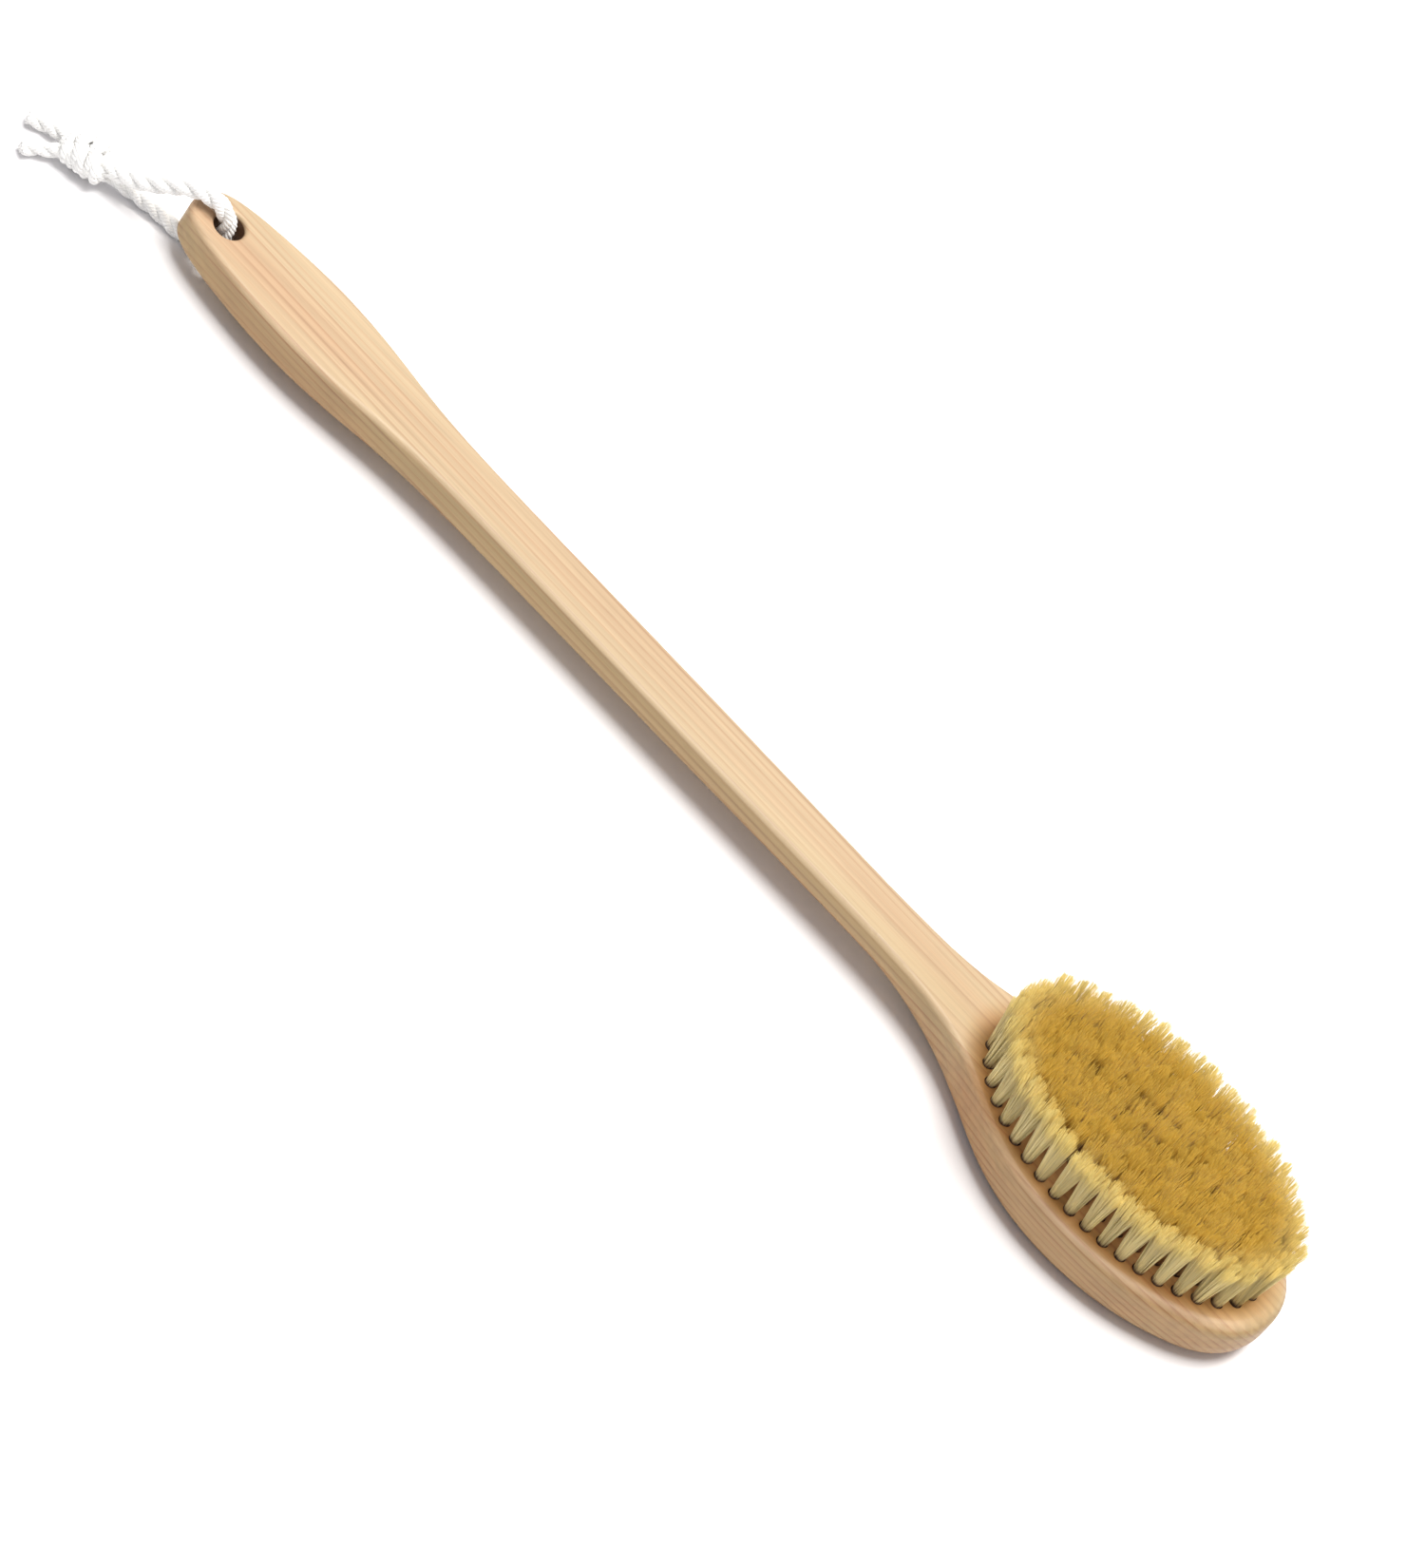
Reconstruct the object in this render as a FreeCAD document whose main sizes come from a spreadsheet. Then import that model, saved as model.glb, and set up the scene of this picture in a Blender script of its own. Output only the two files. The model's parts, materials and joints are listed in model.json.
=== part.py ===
import FreeCAD, Part

import math
import os

# A body dry brush: a one-piece wooden handle and oval head, lying on its back with the
# bristles up.  +X runs along the handle towards the head, +Z is up, and the floor that the
# brush lies on is z = 0.  Lengths along the brush are given from the tip of the handle; the
# origin is midway between the tip and the end of the head.

SHEET = {
    # wooden body
    "BodyLength": 402.2,
    "TopHeight": 16.3,
    "HandleUnderside": 5.0,
    "HandleTopRound": 1.6,
    "HandleBackRound": 2.4,
    "HeadTopRound": 3.6,
    "HeadBackRound": 8.0,
    "BlendStart": 262.0,
    "BlendEnd": 308.0,
    # hole for the hanging rope
    "HangHoleFromTip": 11.7,
    "HangHoleWide": 8.8,
    "HangHoleRound": 1.2,
    # tufts
    "TuftFieldCentre": 347.6,
    "TuftFieldHalfLong": 45.9,
    "TuftFieldHalfWide": 25.2,
    "RingInset": 6.0,
    "TuftPitch": 5.7,
    "TuftHoleWide": 3.6,
    "TuftHoleDeep": 9.0,
    "TuftRootWide": 3.4,
    "TuftTipWide": 5.1,
    "TuftFree": 20.0,
    "TuftRootGap": 0.2,
    # flat wire anchors that hold the folded tufts
    "AnchorLong": 4.0,
    "AnchorThick": 0.35,
    "AnchorTall": 1.6,
    "AnchorAboveRoot": 1.0,
    "AnchorSlack": 0.05,
    # hanging rope
    "RopeWide": 4.6,
    "RestSwing": 13.0,
    "KnotReach": 43.0,
    "KnotHalfLong": 9.0,
    "KnotHalfWide": 7.2,
    "KnotHalfTall": 5.4,
}

# Control points of half of the wooden body's plan outline, (distance from the tip, half
# width), as far as the head's end.  The outline is one cubic B-spline, square to the centre
# line at both ends.
OUTLINE_POLES = [(0.0, 0.0), (0.0, 5.6), (6.6, 9.6), (22.0, 11.9), (44.0, 14.0), (66.0, 12.2),
                 (88.0, 8.3), (130.0, 8.3), (190.0, 8.8), (250.0, 8.3), (280.0, 8.6), (300.0, 13.2),
                 (318.0, 25.4), (337.0, 31.7), (360.0, 32.1), (384.0, 25.4)]
HEAD_END_HALF = 12.8

# Routes of the rope's stretches, (reach from the hole's axis, sideways, height).  The upper
# leg starts inside the hole and lies over the tip; the lower leg starts where the upper one
# does and passes under the tip; the two tails leave the far side of the knot.
UPPER_LEG = [(0.0, 0.0, 10.6), (0.3, 0.0, 15.6), (3.3, 0.0, 18.9), (8.6, 0.1, 20.1),
             (15.0, 0.4, 18.4), (21.0, 0.9, 13.6), (27.6, 1.2, 9.6), (34.6, 1.0, 7.2)]
LOWER_LEG = [(0.0, 0.0, 10.6), (0.3, 0.0, 5.6), (3.4, 0.0, 2.3), (10.6, -0.5, 2.3),
             (18.6, -1.8, 2.3), (26.8, -1.8, 2.5), (34.4, -0.6, 3.8)]
TAIL_ONE = [(47.0, 2.4, 4.4), (51.4, 4.6, 3.0), (56.0, 7.4, 2.3), (59.4, 11.0, 2.3)]
TAIL_TWO = [(48.0, -2.0, 4.6), (52.8, -2.6, 3.1), (58.2, -2.0, 2.3), (63.0, -0.2, 2.3)]

RING_NAMES = ["outer", "second", "third", "fourth", "centre"]
EXPORTED = []


def vec(x, y, z=0.0):
    """A vector from three numbers."""
    return FreeCAD.Vector(x, y, z)


def make_sheet(doc):
    """Put every driving dimension in a spreadsheet cell with its name as alias."""
    sheet = doc.addObject("Spreadsheet::Sheet", "Sizes")
    for row, (alias, value) in enumerate(SHEET.items(), start=1):
        sheet.set(f"A{row}", alias)
        sheet.set(f"B{row}", str(value))
        sheet.setAlias(f"B{row}", alias)
    doc.recompute()
    return sheet


def outline_pieces(sheet, side):
    """One half of the plan outline, cut where the handle blends into the head.

    side is +1 for the +Y half and -1 for the -Y half.
    """
    poles = OUTLINE_POLES + [(sheet.BodyLength, HEAD_END_HALF), (sheet.BodyLength, 0.0)]
    curve = Part.BSplineCurve()
    curve.buildFromPoles([vec(x, side * half) for x, half in poles], False, 3)
    cuts = [curve.FirstParameter]
    for x in (sheet.BlendStart, sheet.BlendEnd):
        station = Part.LineSegment(vec(x, 0), vec(x, side * sheet.BodyLength))
        crossing = curve.intersectCC(station)[0]
        cuts.append(curve.parameter(vec(crossing.X, crossing.Y)))
    cuts.append(curve.LastParameter)
    pieces = []
    for first, last in zip(cuts, cuts[1:]):
        piece = curve.copy()
        piece.segment(first, last)
        pieces.append(piece)
    return pieces


def make_plan_blank(doc, sheet):
    """The board cut to the plan outline, full height."""
    sketch = doc.addObject("Sketcher::SketchObject", "PlanOutline")
    for side in (1, -1):
        for piece in outline_pieces(sheet, side):
            sketch.addGeometry(piece, False)
    blank = doc.addObject("Part::Extrusion", "PlanBlank")
    blank.Base = sketch
    blank.DirMode = "Custom"
    blank.Dir = vec(0, 0, 1)
    blank.Solid = True
    blank.setExpression("LengthFwd", "Sizes.TopHeight")
    return blank


def make_side_blank(doc, sheet):
    """The side view: flat top, raised handle, and a soft step down to the head's back."""
    over = 5.0
    half_deep = 50.0
    blend = (sheet.BlendEnd - sheet.BlendStart) / 3
    low, high = sheet.HandleUnderside, sheet.TopHeight
    near, far = -over, sheet.BodyLength + over
    step = Part.BezierCurve()
    step.setPoles([vec(sheet.BlendStart, low), vec(sheet.BlendStart + blend, low),
                   vec(sheet.BlendEnd - blend, 0), vec(sheet.BlendEnd, 0)])
    sketch = doc.addObject("Sketcher::SketchObject", "SideOutline")
    sketch.addGeometry(Part.LineSegment(vec(near, low), vec(sheet.BlendStart, low)), False)
    sketch.addGeometry(step.toBSpline(), False)
    corners = [vec(sheet.BlendEnd, 0), vec(far, 0), vec(far, high), vec(near, high), vec(near, low)]
    for start, end in zip(corners, corners[1:]):
        sketch.addGeometry(Part.LineSegment(start, end), False)
    sketch.Placement = FreeCAD.Placement(vec(0, half_deep), FreeCAD.Rotation(vec(1, 0, 0), 90))
    blank = doc.addObject("Part::Extrusion", "SideBlank")
    blank.Base = sketch
    blank.DirMode = "Custom"
    blank.Dir = vec(0, -1, 0)
    blank.Solid = True
    blank.LengthFwd = 2 * half_deep
    return blank


def rounded_edges(shape, sheet):
    """Edges to round over, each with its radius at both ends, as Part::Fillet takes them."""
    middle_height = 0.5 * (sheet.HandleUnderside + sheet.TopHeight)
    chosen = []
    for number, edge in enumerate(shape.Edges, start=1):
        box = edge.BoundBox
        if box.XLength < 1.0 or box.YMax - box.YMin < 1e-6 and abs(box.YMin) < 1e-6:
            continue
        on_top = box.ZMin > sheet.TopHeight - 1e-3
        if not on_top and box.ZMax > middle_height:
            continue
        small = sheet.HandleTopRound if on_top else sheet.HandleBackRound
        large = sheet.HeadTopRound if on_top else sheet.HeadBackRound
        if abs(box.YMax + box.YMin) < 1e-3:
            continue
        starts_at_tip = edge.Vertexes[0].X < edge.Vertexes[-1].X
        if box.XMax < sheet.BlendStart + 1.0:
            chosen.append((number, small, small))
        elif box.XMin > sheet.BlendEnd - 1.0:
            chosen.append((number, large, large))
        else:
            ends = (small, large) if starts_at_tip else (large, small)
            chosen.append((number,) + ends)
    return chosen


def make_rounded_blank(doc, sheet):
    """The board in plan and side view, with its edges rounded over."""
    blank = doc.addObject("Part::MultiCommon", "SawnBlank")
    blank.Shapes = [make_plan_blank(doc, sheet), make_side_blank(doc, sheet)]
    doc.recompute()
    rounded = doc.addObject("Part::Fillet", "RoundedBlank")
    rounded.Base = blank
    rounded.Edges = rounded_edges(blank.Shape, sheet)
    doc.recompute()
    return rounded


def ring_places(sheet, ring):
    """Tuft places on one oval ring, an even number evenly spaced along it from the head's end,
    or on the centre row, which stops short of the innermost oval."""
    long_half = sheet.TuftFieldHalfLong - ring * sheet.RingInset
    wide_half = sheet.TuftFieldHalfWide - ring * sheet.RingInset
    centre = vec(sheet.TuftFieldCentre, 0)
    if wide_half > 0.5 * sheet.RingInset:
        oval = Part.Ellipse(centre, long_half, wide_half).toShape()
        count = 2 * int(0.5 * oval.Length / sheet.TuftPitch)
        return oval.discretize(Number=count + 1)[:-1]
    gaps = int((long_half - 0.5 * sheet.RingInset) / sheet.TuftPitch)
    reach = vec(gaps * sheet.TuftPitch, 0)
    return Part.makeLine(centre + reach, centre - reach).discretize(Number=2 * gaps + 1)


def make_drill_pattern(doc, sheet):
    """All the blind tuft holes, as one tool to cut with."""
    overlap = 2.0
    floor_height = sheet.TopHeight - sheet.TuftHoleDeep
    drills = []
    for ring in range(len(RING_NAMES)):
        for place in ring_places(sheet, ring):
            drills.append(Part.makeCylinder(0.5 * sheet.TuftHoleWide, sheet.TuftHoleDeep + overlap,
                                            place + vec(0, 0, floor_height)))
    pattern = doc.addObject("Part::Feature", "TuftDrills")
    pattern.Shape = Part.makeCompound(drills)
    return pattern


def make_wooden_body(doc, sheet):
    """The wooden body: rounded board, rope hole with eased mouths, blind tuft holes."""
    drill = doc.addObject("Part::Cylinder", "RopeDrill")
    drill.setExpression("Radius", "Sizes.HangHoleWide / 2")
    drill.setExpression("Height", "Sizes.TopHeight * 2")
    drill.setExpression("Placement.Base.x", "Sizes.HangHoleFromTip")
    drill.setExpression("Placement.Base.z", "-Sizes.TopHeight / 2")
    bored = doc.addObject("Part::Cut", "BoredBlank")
    bored.Base = make_rounded_blank(doc, sheet)
    bored.Tool = drill
    doc.recompute()
    mouths = []
    for number, edge in enumerate(bored.Shape.Edges, start=1):
        is_round = isinstance(edge.Curve, Part.Circle) and len(edge.Vertexes) == 1
        if is_round and abs(edge.Curve.Radius - 0.5 * sheet.HangHoleWide) < 1e-3:
            mouths.append((number, sheet.HangHoleRound, sheet.HangHoleRound))
    eased = doc.addObject("Part::Fillet", "EasedBlank")
    eased.Base = bored
    eased.Edges = mouths
    body = doc.addObject("Part::Cut", "WoodenBody")
    body.Base = eased
    body.Tool = make_drill_pattern(doc, sheet)
    finish(body, "wooden_body", sheet)
    return body


def tuft_shape(sheet, place):
    """One tuft: a straight root in its hole, notched for its anchor, and a spreading brush."""
    root_height = sheet.TopHeight - sheet.TuftHoleDeep + sheet.TuftRootGap
    root = Part.makeCylinder(0.5 * sheet.TuftRootWide, sheet.TopHeight - root_height,
                             vec(place.x, place.y, root_height))
    brush = Part.makeCone(0.5 * sheet.TuftRootWide, 0.5 * sheet.TuftTipWide, sheet.TuftFree,
                          vec(place.x, place.y, sheet.TopHeight))
    return root.cut(anchor_shape(sheet, place, sheet.AnchorSlack)).fuse(brush)


def anchor_shape(sheet, place, slack=0.0):
    """One flat wire anchor, lying across its hole; slack grows it on every face."""
    size = vec(sheet.AnchorLong, sheet.AnchorThick, sheet.AnchorTall) + vec(slack, slack, slack) * 2
    bottom = sheet.TopHeight - sheet.TuftHoleDeep + sheet.TuftRootGap + sheet.AnchorAboveRoot - slack
    corner = vec(place.x - 0.5 * size.x, place.y - 0.5 * size.y, bottom)
    return Part.makeBox(size.x, size.y, size.z, corner)


def make_rings(doc, sheet):
    """Every ring of tufts and of the anchors that hold them."""
    for ring, name in enumerate(RING_NAMES):
        places = ring_places(sheet, ring)
        tufts = doc.addObject("Part::Feature", f"Tufts{name.title()}")
        tufts.Shape = Part.makeCompound([tuft_shape(sheet, place) for place in places])
        finish(tufts, f"bristle_tufts_{name}_ring", sheet)
        anchors = doc.addObject("Part::Feature", f"Anchors{name.title()}")
        anchors.Shape = Part.makeCompound([anchor_shape(sheet, place) for place in places])
        finish(anchors, f"wire_anchors_{name}_ring", sheet)
        print(f"{name} ring: {len(places)} tufts")


def tube(name, route, wide):
    """A round tube along straight runs joined by tangent arcs as large as the runs allow."""
    points = [vec(*point) for point in route]
    edges, radii, start = [], [], points[0]
    for before, corner, after in zip(points, points[1:], points[2:]):
        back, ahead = before - corner, after - corner
        half_turn = 0.5 * (math.pi - back.getAngle(ahead))
        reach = 0.45 * min(back.Length, ahead.Length)
        radius = reach / math.tan(half_turn)
        back.normalize()
        ahead.normalize()
        arc_start, arc_end = corner + back * reach, corner + ahead * reach
        bisector = back + ahead
        bisector.normalize()
        middle = corner + bisector * (radius / math.cos(half_turn) - radius)
        edges.append(Part.LineSegment(start, arc_start).toShape())
        edges.append(Part.Arc(arc_start, middle, arc_end).toShape())
        radii.append(radius)
        start = arc_end
    edges.append(Part.LineSegment(start, points[-1]).toShape())
    path = Part.Wire(edges)
    section = Part.Wire(Part.makeCircle(0.5 * wide, points[0], points[1] - points[0]))
    solid = path.makePipeShell([section], True, False)
    expected = math.pi * (0.5 * wide) ** 2 * path.Length
    print(f"{name}: length {path.Length:.1f}, radii {[round(r, 1) for r in radii]}, "
          f"volume {solid.Volume / expected:.4f} of section times length")
    return solid


def rope_placement(sheet):
    """Where the rope's own frame lies: on the hole's axis, swung towards the near side."""
    turn = FreeCAD.Rotation(vec(0, 0, 1), 180.0 + sheet.RestSwing)
    return FreeCAD.Placement(vec(sheet.HangHoleFromTip, 0), turn)


def make_rope(doc, sheet):
    """The hanging rope: two legs, the knot that joins them, and its two tails."""
    stretches = [("RopeUpperLeg", "rope_upper_leg", UPPER_LEG), ("RopeLowerLeg", "rope_lower_leg", LOWER_LEG),
                 ("RopeTailOne", "rope_tail_one", TAIL_ONE), ("RopeTailTwo", "rope_tail_two", TAIL_TWO)]
    for internal, label, route in stretches:
        stretch = doc.addObject("Part::Feature", internal)
        stretch.Shape = tube(label, route, sheet.RopeWide)
        stretch.Placement = rope_placement(sheet)
        finish(stretch, label, sheet)
    knot = doc.addObject("Part::Ellipsoid", "RopeKnot")
    knot.setExpression("Radius1", "Sizes.KnotHalfTall")
    knot.setExpression("Radius2", "Sizes.KnotHalfLong")
    knot.setExpression("Radius3", "Sizes.KnotHalfWide")
    place = rope_placement(sheet)
    knot.Placement = place.multiply(FreeCAD.Placement(vec(sheet.KnotReach, 0, sheet.KnotHalfTall),
                                                      FreeCAD.Rotation()))
    finish(knot, "rope_knot", sheet)


def finish(piece, label, sheet):
    """Name a sub-part, move it from the tip's frame to the brush's, and list it for export."""
    piece.Label = label
    shift = FreeCAD.Placement(vec(-0.5 * sheet.BodyLength, 0), FreeCAD.Rotation())
    piece.Placement = shift.multiply(piece.Placement)
    EXPORTED.append(piece)


def check_document(doc):
    """Stop if any object failed to compute or any sub-part has no sound shape."""
    for item in doc.Objects:
        if "Invalid" in item.State or "Error" in item.State:
            raise RuntimeError(f"{item.Label} did not compute")
    for piece in EXPORTED:
        if piece.Shape.isNull() or not piece.Shape.isValid():
            raise RuntimeError(f"{piece.Label} has no sound shape")


def export_parts():
    """Write every sub-part to its own file."""
    os.makedirs("parts", exist_ok=True)
    for piece in EXPORTED:
        piece.Shape.exportStep(f"parts/{piece.Label}.step")
        print(f"{piece.Label}: {len(piece.Shape.Solids)} solids, {piece.Shape.Volume:.0f} mm3")


def main():
    doc = FreeCAD.newDocument("BodyDryBrush")
    sheet = make_sheet(doc)
    make_wooden_body(doc, sheet)
    make_rings(doc, sheet)
    make_rope(doc, sheet)
    doc.recompute()
    check_document(doc)
    export_parts()


main()
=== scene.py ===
"""Looks of a long-handled body dry brush: grained wood, bristle tufts and a knotted cotton rope."""

import json
import logging
import math
import random
from dataclasses import dataclass, field
from enum import Enum

import bmesh
import bpy
from mathutils import Matrix, Vector


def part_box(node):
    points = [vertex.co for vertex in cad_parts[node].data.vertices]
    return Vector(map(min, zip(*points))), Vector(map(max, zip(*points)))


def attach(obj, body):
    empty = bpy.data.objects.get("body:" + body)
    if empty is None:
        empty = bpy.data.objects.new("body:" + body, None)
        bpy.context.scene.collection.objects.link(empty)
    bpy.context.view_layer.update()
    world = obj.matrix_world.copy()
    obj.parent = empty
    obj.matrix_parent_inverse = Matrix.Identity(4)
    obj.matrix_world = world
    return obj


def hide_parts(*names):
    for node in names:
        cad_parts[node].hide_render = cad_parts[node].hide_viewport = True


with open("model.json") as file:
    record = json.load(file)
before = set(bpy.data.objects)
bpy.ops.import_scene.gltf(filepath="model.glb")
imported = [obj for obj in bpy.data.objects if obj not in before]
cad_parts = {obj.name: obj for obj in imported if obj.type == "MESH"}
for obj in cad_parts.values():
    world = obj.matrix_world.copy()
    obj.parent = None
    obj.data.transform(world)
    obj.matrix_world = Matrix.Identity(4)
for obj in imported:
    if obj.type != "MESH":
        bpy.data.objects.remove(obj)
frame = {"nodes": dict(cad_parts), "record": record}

MM = 0.001
RING_NAMES = ("outer", "second", "third", "fourth", "centre")
LOG = logging.getLogger("brush")


class Body(Enum):
    """The two bodies of the brush that pieces ride on."""

    BRUSH = "brush"
    ROPE = "rope"


class Slot(Enum):
    """The record's material slots, one for each kind of new piece."""

    BRISTLE = "bristle"
    ROPE = "rope"


class Lay(Enum):
    """Direction in which a rope's strands or plies are wound."""

    RIGHT = 1.0
    LEFT = -1.0


# ---------------------------------------------------------------- shared helpers


def add_object(name: str, mesh: bpy.types.Mesh) -> bpy.types.Object:
    """Put a mesh into the scene as an object.

    Args:
        name: The object's name.
        mesh: Its mesh, already in place in the row frame.

    Returns:
        The new object.
    """
    piece = bpy.data.objects.new(name, mesh)
    bpy.context.scene.collection.objects.link(piece)
    return piece


def mesh_from(bm: bmesh.types.BMesh, name: str, smooth: bool = True) -> bpy.types.Mesh:
    """Turn a bmesh into a mesh and free it.

    Args:
        bm: The bmesh to finish.
        name: The mesh's name.
        smooth: Whether its faces are shaded smooth.

    Returns:
        The finished mesh.
    """
    mesh = bpy.data.meshes.new(name)
    bm.to_mesh(mesh)
    bm.free()
    if smooth:
        mesh.shade_smooth()
    return mesh


def settle(piece: bpy.types.Object, body: Body, slot: Slot, nodes: tuple[str, ...] = ()) -> None:
    """Say what a piece rides on and hide the CAD nodes that it stands for.

    Args:
        piece: The finished piece.
        body: The body that it moves with.
        slot: Its material slot in the record; not used.
        nodes: CAD nodes that it replaces.
    """
    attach(piece, body.value)
    if nodes:
        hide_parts(*nodes)
    LOG.info("%s: %d faces, rides on %s", piece.name, len(piece.data.polygons), body.value)


def redress(node: str, material: bpy.types.Material) -> None:
    """Give a CAD node a material in place of its own.

    Args:
        node: The node's name.
        material: Its new material.
    """
    piece = frame["nodes"][node]
    piece.data.materials.clear()
    piece.data.materials.append(material)
    LOG.info("%s: %s", node, material.name)


class NodeSheet:
    """A material's node tree, with short calls to add nodes and join them."""

    # A Mix node's colour sockets share their names with its number and vector sockets.
    FIRST_COLOUR, SECOND_COLOUR, MIXED_COLOUR = 6, 7, 2

    def __init__(self, name: str) -> None:
        """Start an empty tree for a new material.

        Args:
            name: The material's name.
        """
        self.material = bpy.data.materials.new(name)
        self.material.use_nodes = True
        self.tree = self.material.node_tree
        self.tree.nodes.clear()
        self.shader = self.add("ShaderNodeBsdfPrincipled")
        output = self.add("ShaderNodeOutputMaterial")
        self.join(self.shader.outputs["BSDF"], output.inputs["Surface"])

    def add(self, kind: str, **settings: object) -> bpy.types.Node:
        """Add a node.

        Args:
            kind: The node's type.
            settings: Properties to set on it.

        Returns:
            The new node.
        """
        node = self.tree.nodes.new(kind)
        for key, value in settings.items():
            setattr(node, key, value)
        return node

    def join(self, source: bpy.types.NodeSocket, target: bpy.types.NodeSocket) -> None:
        """Link one socket to another."""
        self.tree.links.new(source, target)

    def feed(self, target: bpy.types.NodeSocket, value: object) -> None:
        """Link a socket, or set its default when the value is plain.

        Args:
            target: The socket to feed.
            value: A socket, a plain value, or None to leave the target alone.
        """
        if isinstance(value, bpy.types.NodeSocket):
            self.join(value, target)
        elif value is not None:
            target.default_value = value

    def maths(self, operation: str, first: object, second: object = None, third: object = None,
              clamp: bool = False) -> bpy.types.NodeSocket:
        """Add a Math node.

        Args:
            operation: The sum that it does.
            first: A socket or a number.
            second: A socket or a number, if the operation has it.
            third: A socket or a number, if the operation has it.
            clamp: Whether the result is kept from 0 to 1.

        Returns:
            Its result.
        """
        node = self.add("ShaderNodeMath", operation=operation, use_clamp=clamp)
        for socket, value in zip(node.inputs, (first, second, third)):
            self.feed(socket, value)
        return node.outputs["Value"]

    def blend(self, factor: object, first: object, second: object,
              how: str = "MIX") -> bpy.types.NodeSocket:
        """Mix two colours.

        Args:
            factor: How much of the second colour is used.
            first: A colour or a socket.
            second: A colour or a socket.
            how: The blend mode.

        Returns:
            The mixed colour.
        """
        node = self.add("ShaderNodeMix", data_type="RGBA", blend_type=how)
        self.feed(node.inputs["Factor"], factor)
        self.feed(node.inputs[self.FIRST_COLOUR], first)
        self.feed(node.inputs[self.SECOND_COLOUR], second)
        return node.outputs[self.MIXED_COLOUR]

    def tinted(self, colour: object, tint: object) -> bpy.types.NodeSocket:
        """One colour multiplied by another."""
        return self.blend(1.0, colour, tint, "MULTIPLY")

    def shaded(self, colour: object, value: bpy.types.NodeSocket) -> bpy.types.NodeSocket:
        """Make a colour lighter or darker.

        Args:
            colour: A colour or a socket.
            value: What it is multiplied by.

        Returns:
            The colour, lighter or darker.
        """
        grey = self.add("ShaderNodeCombineColor")
        for channel in ("Red", "Green", "Blue"):
            self.join(value, grey.inputs[channel])
        return self.tinted(colour, grey.outputs["Color"])

    def swing(self, value: bpy.types.NodeSocket, amount: float,
              base: object) -> bpy.types.NodeSocket:
        """A value times an amount, on top of a base."""
        return self.maths("MULTIPLY_ADD", value, amount, base)

    def ramp(self, value: bpy.types.NodeSocket, low: float, high: float) -> bpy.types.NodeSocket:
        """Step smoothly from 0 to 1.

        Args:
            value: The value that is stepped.
            low: Where the step leaves 0.
            high: Where it reaches 1, below low for a step down.

        Returns:
            The step.
        """
        node = self.add("ShaderNodeMapRange", interpolation_type="SMOOTHSTEP")
        self.join(value, node.inputs["Value"])
        node.inputs["From Min"].default_value = low
        node.inputs["From Max"].default_value = high
        return node.outputs["Result"]

    def stretched(self, scale: tuple[float, float, float] = (1.0, 1.0, 1.0),
                  shift: tuple[float, float, float] = (0.0, 0.0, 0.0)) -> bpy.types.NodeSocket:
        """Take Object coordinates, scaled and moved.

        Args:
            scale: Scale along each axis.
            shift: Added after the scaling.

        Returns:
            The coordinates.
        """
        place = self.add("ShaderNodeTexCoord")
        mapping = self.add("ShaderNodeMapping")
        mapping.inputs["Location"].default_value = shift
        mapping.inputs["Scale"].default_value = scale
        self.join(place.outputs["Object"], mapping.inputs["Vector"])
        return mapping.outputs["Vector"]

    def split(self, vector: bpy.types.NodeSocket) -> tuple[bpy.types.NodeSocket, ...]:
        """Split a vector.

        Args:
            vector: The vector.

        Returns:
            Its X, Y and Z.
        """
        node = self.add("ShaderNodeSeparateXYZ")
        self.join(vector, node.inputs["Vector"])
        return tuple(node.outputs)

    def height(self) -> bpy.types.NodeSocket:
        """Height above the floor."""
        return self.split(self.stretched())[2]

    def noise(self, vector: bpy.types.NodeSocket, scale: float, detail: float,
              rough: float) -> bpy.types.NodeSocket:
        """Add a Noise texture.

        Args:
            vector: Where it is read.
            scale: Its scale.
            detail: How many finer noises are added to it.
            rough: How strong the finer noises are.

        Returns:
            Its value, from 0 to 1.
        """
        node = self.add("ShaderNodeTexNoise")
        self.join(vector, node.inputs["Vector"])
        node.inputs["Scale"].default_value = scale
        node.inputs["Detail"].default_value = detail
        node.inputs["Roughness"].default_value = rough
        return node.outputs["Fac"]

    def bump(self, height: bpy.types.NodeSocket, distance: float, strength: float) -> None:
        """Give the shader a bump.

        Args:
            height: The relief, from 0 to 1.
            distance: Its depth in metres.
            strength: How much of it is used.
        """
        node = self.add("ShaderNodeBump")
        self.join(height, node.inputs["Height"])
        node.inputs["Distance"].default_value = distance
        node.inputs["Strength"].default_value = strength
        self.join(node.outputs["Normal"], self.shader.inputs["Normal"])

    def surface(self, values: dict[str, object]) -> None:
        """Feed the shader's own sockets.

        Args:
            values: A socket or a plain value for each of the shader's inputs, by name.
        """
        for name, value in values.items():
            self.feed(self.shader.inputs[name], value)


# ---------------------------------------------------------------- finishes


@dataclass(frozen=True)
class Grain:
    """A noise: how it is stretched and moved, how fine it is and the part of it that shows."""

    stretch: tuple[float, float, float] = (1.0, 1.0, 1.0)
    shift: tuple[float, float, float] = (0.0, 0.0, 0.0)
    scale: float = 1.0
    detail: float = 2.0
    rough: float = 0.5
    low: float = 0.0
    high: float = 1.0

    def noise(self, sheet: NodeSheet) -> bpy.types.NodeSocket:
        """The whole noise."""
        place = sheet.stretched(self.stretch, self.shift)
        return sheet.noise(place, self.scale, self.detail, self.rough)

    def shown(self, sheet: NodeSheet) -> bpy.types.NodeSocket:
        """The part of the noise that shows, as a smooth step."""
        return sheet.ramp(self.noise(sheet), self.low, self.high)


# In the finishes, a pair named for a shade, a strength or a roughness is how far a pattern
# swings it and the base that it swings from. A pair named for a band is where it starts and ends.


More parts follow.
